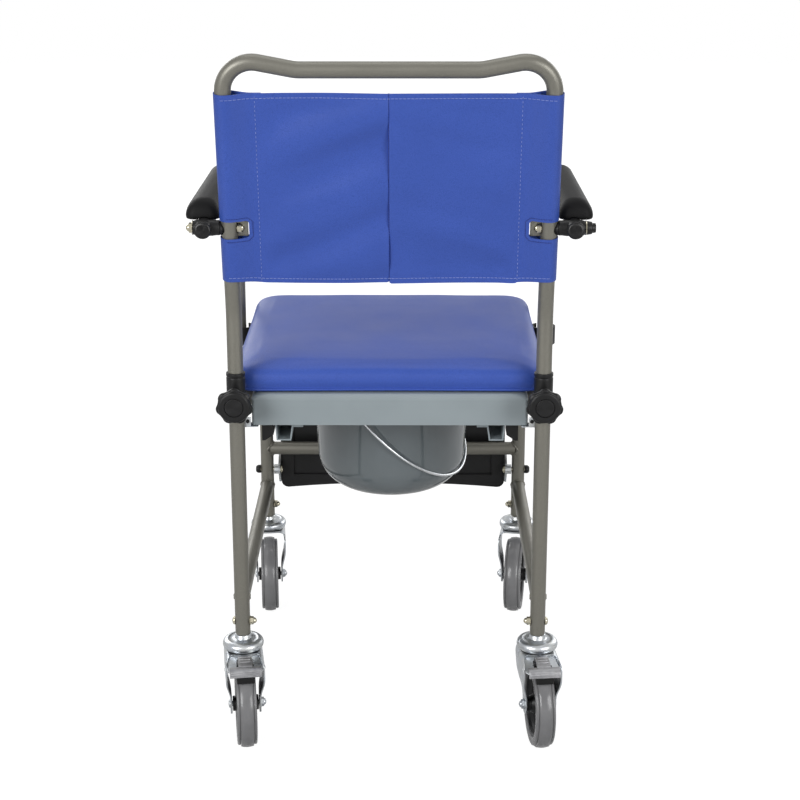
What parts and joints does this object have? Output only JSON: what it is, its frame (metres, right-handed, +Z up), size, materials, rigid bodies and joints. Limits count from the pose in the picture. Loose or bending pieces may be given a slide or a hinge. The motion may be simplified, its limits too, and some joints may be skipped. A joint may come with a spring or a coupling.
{
  "type": "wheeled commode chair",
  "caption": "Wheeled commode chair: padded seat over a sliding pail, sling backrest with push handle, flip-up padded arms, folding footrest and braked swivel casters.",
  "frame": {"origin": "On the floor, below the middle of the object's box", "axes": "+Z up; the chair faces -Y, its push handle is at +Y, and the sitter's left is +X"},
  "size_m": [0.552, 0.5882, 1.0052],
  "materials": {
    "tube_paint": "warm silver-grey metallic powder coat on steel tube",
    "zinc_plate": "bright zinc-plated pressed steel",
    "black_plastic": "fine-textured black moulded plastic",
    "pad_foam": "black self-skinned polyurethane foam",
    "hub_plastic": "black moulded nylon",
    "grey_tyre": "smooth grey thermoplastic rubber",
    "blue_vinyl": "royal blue coated vinyl with a fine grain",
    "seat_plastic": "blue-grey moulded plastic, satin",
    "pail_plastic": "blue-grey moulded plastic, glossy",
    "steel_wire": "bright drawn wire"
  },
  "bodies": {
    "frame": {"rear_leg_left": "tube_paint", "rear_leg_right": "tube_paint", "front_leg_left": "tube_paint", "front_leg_right": "tube_paint", "side_stretcher_left": "tube_paint", "side_stretcher_right": "tube_paint", "front_cross_tube": "tube_paint", "seat_cross_tube_rear": "tube_paint", "seat_cross_tube_front": "tube_paint", "leg_collar_left": "black_plastic", "leg_collar_right": "black_plastic", "arm_socket_left": "black_plastic", "arm_socket_right": "black_plastic", "bucket_runner_left": "seat_plastic", "bucket_runner_right": "seat_plastic", "seat_clip_left": "black_plastic", "seat_clip_right": "black_plastic", "seat_board": "seat_plastic", "footrest_pivot_left": "black_plastic", "footrest_pivot_right": "black_plastic", "caster_head_rear_left": "zinc_plate", "caster_head_rear_right": "zinc_plate", "caster_head_front_left": "zinc_plate", "caster_head_front_right": "zinc_plate"},
    "backrest": {"back_frame": "tube_paint", "back_sling": "blue_vinyl", "arm_pivot_bolt_left": "zinc_plate", "arm_pivot_bolt_right": "zinc_plate"},
    "armrest_left": {"arm_tube_left": "tube_paint", "arm_joint_left": "black_plastic", "arm_pad_left": "pad_foam"},
    "armrest_right": {"arm_tube_right": "tube_paint", "arm_joint_right": "black_plastic", "arm_pad_right": "pad_foam"},
    "knob_left": {"clamp_knob_left": "black_plastic"},
    "knob_right": {"clamp_knob_right": "black_plastic"},
    "footrest": {"footplate": "black_plastic", "footrest_arm_left": "zinc_plate", "footrest_arm_right": "zinc_plate"},
    "pail": {"bucket": "pail_plastic"},
    "bail": {"bucket_bail": "steel_wire"},
    "cushion": {"seat_cushion": "blue_vinyl"},
    "caster_rear_left": {"fork_rear_left": "zinc_plate", "axle_rear_left": "zinc_plate"},
    "wheel_rear_left": {"tyre_rear_left": "grey_tyre", "hub_rear_left": "hub_plastic"},
    "caster_rear_right": {"fork_rear_right": "zinc_plate", "axle_rear_right": "zinc_plate"},
    "wheel_rear_right": {"tyre_rear_right": "grey_tyre", "hub_rear_right": "hub_plastic"},
    "caster_front_left": {"fork_front_left": "zinc_plate", "axle_front_left": "zinc_plate"},
    "wheel_front_left": {"tyre_front_left": "grey_tyre", "hub_front_left": "hub_plastic"},
    "caster_front_right": {"fork_front_right": "zinc_plate", "axle_front_right": "zinc_plate"},
    "wheel_front_right": {"tyre_front_right": "grey_tyre", "hub_front_right": "hub_plastic"},
    "pedal_left": {"brake_pedal_left": "zinc_plate"},
    "pedal_right": {"brake_pedal_right": "zinc_plate"}
  },
  "joints": [
    {"name": "caster_rear_left_swivel", "type": "hinge", "parent": "frame", "child": "caster_rear_left", "pos_m": [0.215, 0.20087, 0.14], "axis": [0, 0, 1], "continuous": true},
    {"name": "wheel_rear_left_spin", "type": "hinge", "parent": "caster_rear_left", "child": "wheel_rear_left", "pos_m": [0.21091, 0.22998, 0.0635], "axis": [0.9903, 0.1392, 0], "continuous": true},
    {"name": "caster_rear_right_swivel", "type": "hinge", "parent": "frame", "child": "caster_rear_right", "pos_m": [-0.215, 0.20087, 0.14], "axis": [0, 0, 1], "continuous": true},
    {"name": "wheel_rear_right_spin", "type": "hinge", "parent": "caster_rear_right", "child": "wheel_rear_right", "pos_m": [-0.21782, 0.23013, 0.0635], "axis": [0.9954, 0.0958, 0], "continuous": true},
    {"name": "caster_front_left_swivel", "type": "hinge", "parent": "frame", "child": "caster_front_left", "pos_m": [0.215, -0.25913, 0.14], "axis": [0, 0, 1], "continuous": true},
    {"name": "wheel_front_left_spin", "type": "hinge", "parent": "caster_front_left", "child": "wheel_front_left", "pos_m": [0.21244, -0.22984, 0.0635], "axis": [0.9962, 0.0872, 0], "continuous": true},
    {"name": "caster_front_right_swivel", "type": "hinge", "parent": "frame", "child": "caster_front_right", "pos_m": [-0.215, -0.25913, 0.14], "axis": [0, 0, 1], "continuous": true},
    {"name": "wheel_front_right_spin", "type": "hinge", "parent": "caster_front_right", "child": "wheel_front_right", "pos_m": [-0.21065, -0.23005, 0.0635], "axis": [0.989, -0.1478, 0], "continuous": true},
    {"name": "brake_left_press", "type": "hinge", "parent": "caster_rear_left", "child": "pedal_left", "pos_m": [0.21195, 0.22256, 0.118], "axis": [-0.9903, -0.1392, 0], "range_deg": [0, 3.5]},
    {"name": "brake_right_press", "type": "hinge", "parent": "caster_rear_right", "child": "pedal_right", "pos_m": [-0.2171, 0.22267, 0.118], "axis": [-0.9954, -0.0958, 0], "range_deg": [0, 3.5]},
    {"name": "backrest_lift", "type": "slide", "parent": "frame", "child": "backrest", "axis": [0, 0, 1], "range_m": [0, 0.12]},
    {"name": "armrest_left_flip", "type": "hinge", "parent": "backrest", "child": "armrest_left", "pos_m": [0.2495, 0.2246, 0.77], "axis": [-1, 0, 0], "range_deg": [0, 98]},
    {"name": "knob_left_turn", "type": "hinge", "parent": "frame", "child": "knob_left", "pos_m": [0.215, 0.2236, 0.518], "axis": [0, 1, 0], "continuous": true},
    {"name": "armrest_right_flip", "type": "hinge", "parent": "backrest", "child": "armrest_right", "pos_m": [-0.2495, 0.2246, 0.77], "axis": [-1, 0, 0], "range_deg": [0, 98]},
    {"name": "knob_right_turn", "type": "hinge", "parent": "frame", "child": "knob_right", "pos_m": [-0.215, 0.2236, 0.518], "axis": [0, 1, 0], "continuous": true},
    {"name": "footrest_fold", "type": "hinge", "parent": "frame", "child": "footrest", "pos_m": [0, -0.25913, 0.245], "axis": [1, 0, 0], "range_deg": [0, 90]},
    {"name": "pail_slide", "type": "slide", "parent": "frame", "child": "pail", "axis": [0, 1, 0], "range_m": [0, 0.28]},
    {"name": "bail_swing", "type": "hinge", "parent": "pail", "child": "bail", "pos_m": [0, -0.03413, 0.4652], "axis": [0.4462, 0.8949, 0], "range_deg": [0, 28]},
    {"name": "cushion_lift", "type": "slide", "parent": "frame", "child": "cushion", "axis": [0, 0, 1], "range_m": [0, 0.1]}
  ]
}
